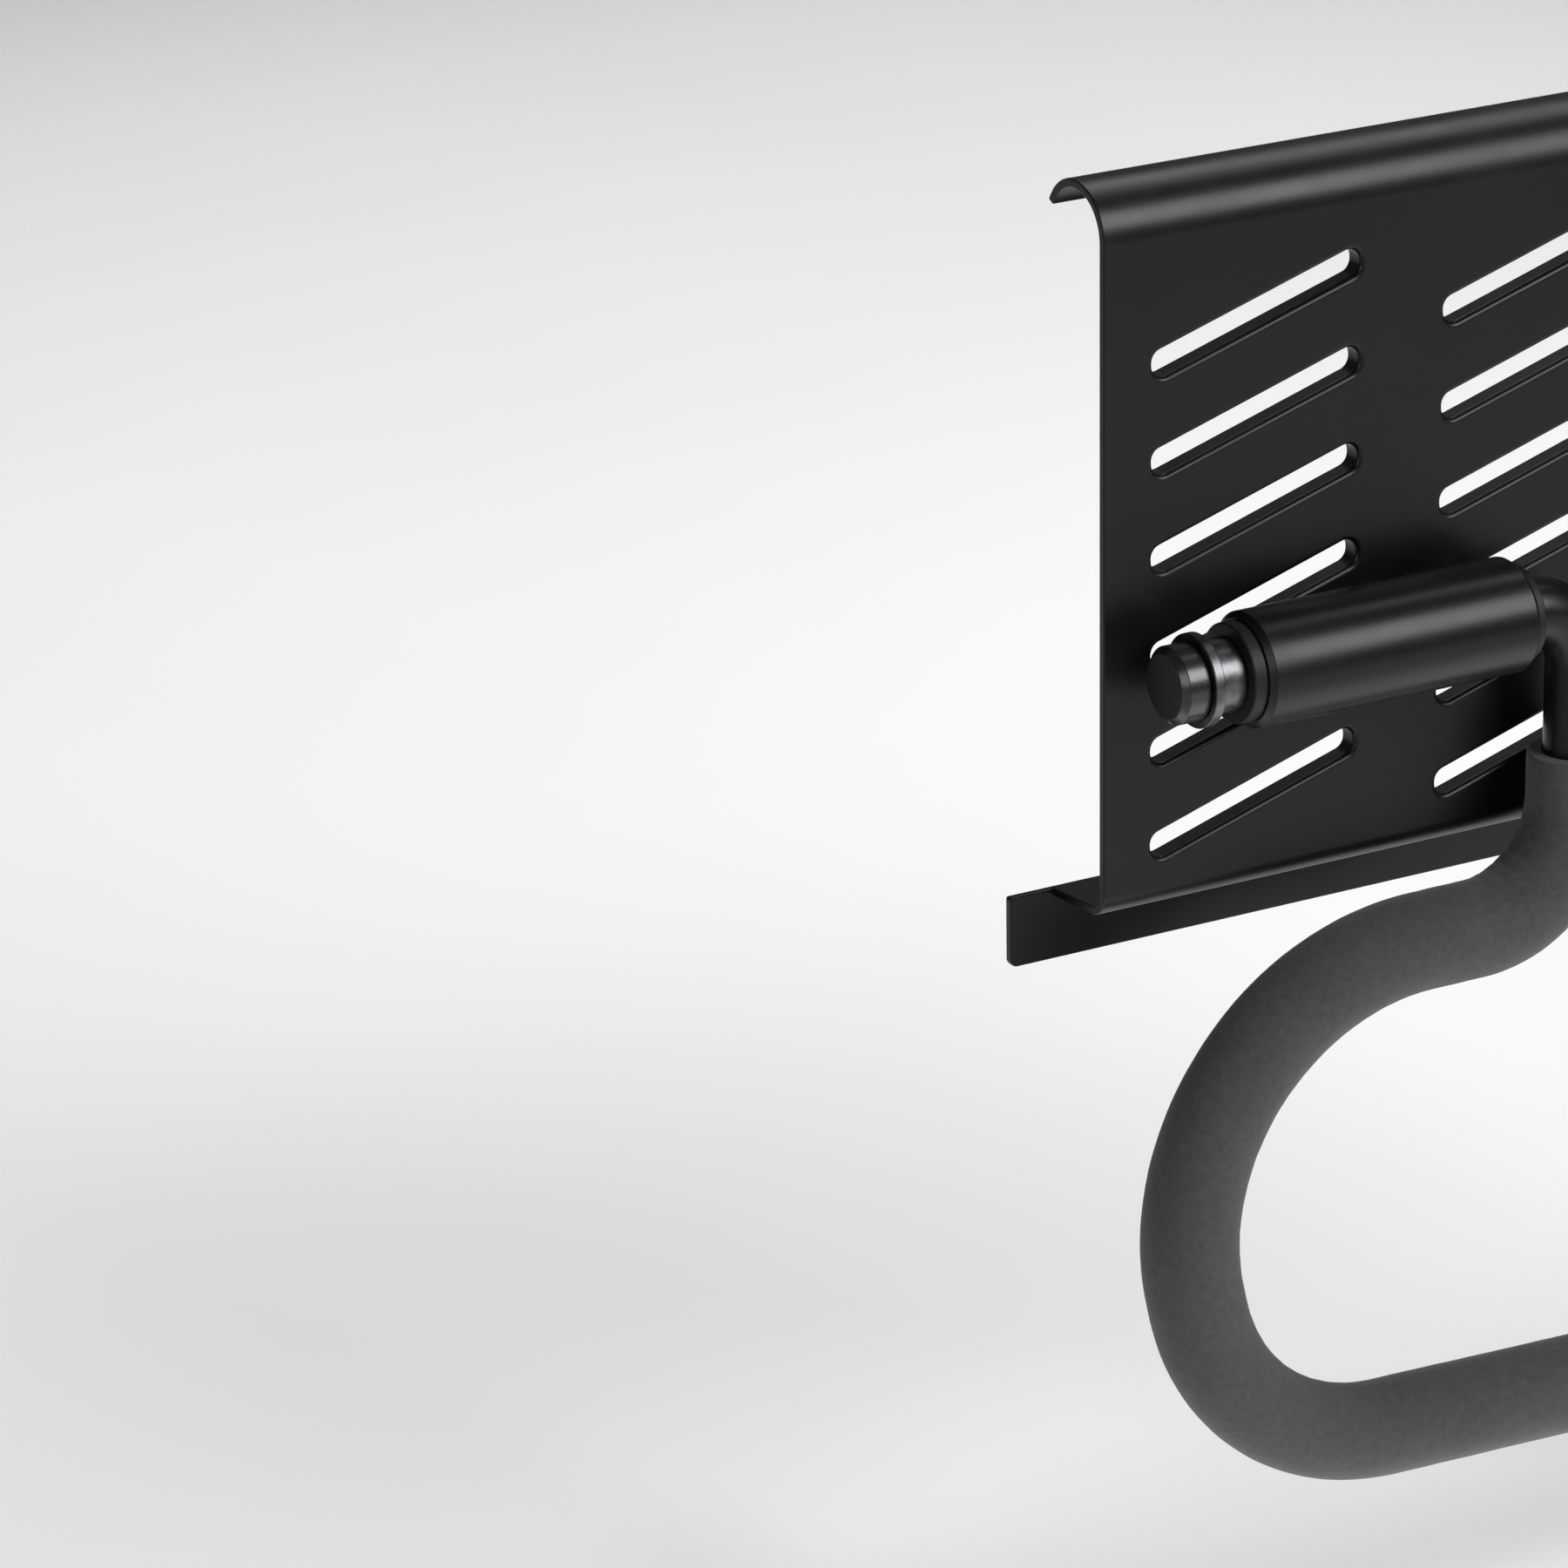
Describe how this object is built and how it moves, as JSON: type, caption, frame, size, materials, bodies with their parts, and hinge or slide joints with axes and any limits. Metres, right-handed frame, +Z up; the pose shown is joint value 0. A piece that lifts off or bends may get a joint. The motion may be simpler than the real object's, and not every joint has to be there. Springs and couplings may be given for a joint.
{
  "type": "bicycle wall rack",
  "caption": "Folding bicycle wall rack: slotted steel back plate with a hooked top edge and a foam-covered loop that swings on pivot barrels.",
  "frame": {"origin": "middle of the back face of the flat strip that rests on the wall", "axes": "+Z up, +X to the right along the plate seen from the front, +Y into the wall, front towards -Y"},
  "size_m": [0.4072, 0.0647, 0.3959],
  "materials": {
    "powder_coat": "black satin powder coat",
    "nylon": "black moulded nylon",
    "bare_steel": "bare bright steel",
    "foam": "dark grey closed-cell foam, matt"
  },
  "bodies": {
    "wall_plate": {"back_plate": "powder_coat", "wall_strip": "powder_coat", "pivot_barrel_left": "powder_coat", "pivot_barrel_right": "powder_coat", "bushing_outer_left": "nylon", "bushing_outer_right": "nylon", "bushing_inner_left": "nylon", "bushing_inner_right": "nylon"},
    "swing_loop": {"loop_tube": "powder_coat", "foam_sleeve": "foam", "shaft_spacer_left": "bare_steel", "shaft_spacer_right": "bare_steel", "retaining_washer_left": "bare_steel", "retaining_washer_right": "bare_steel", "end_cap_left": "nylon", "end_cap_right": "nylon"}
  },
  "joints": [
    {"name": "loop_fold", "type": "hinge", "parent": "wall_plate", "child": "swing_loop", "pos_m": [0, -0.0482, 0.08405], "axis": [-1, 0, 0], "range_deg": [-2, 90]}
  ]
}
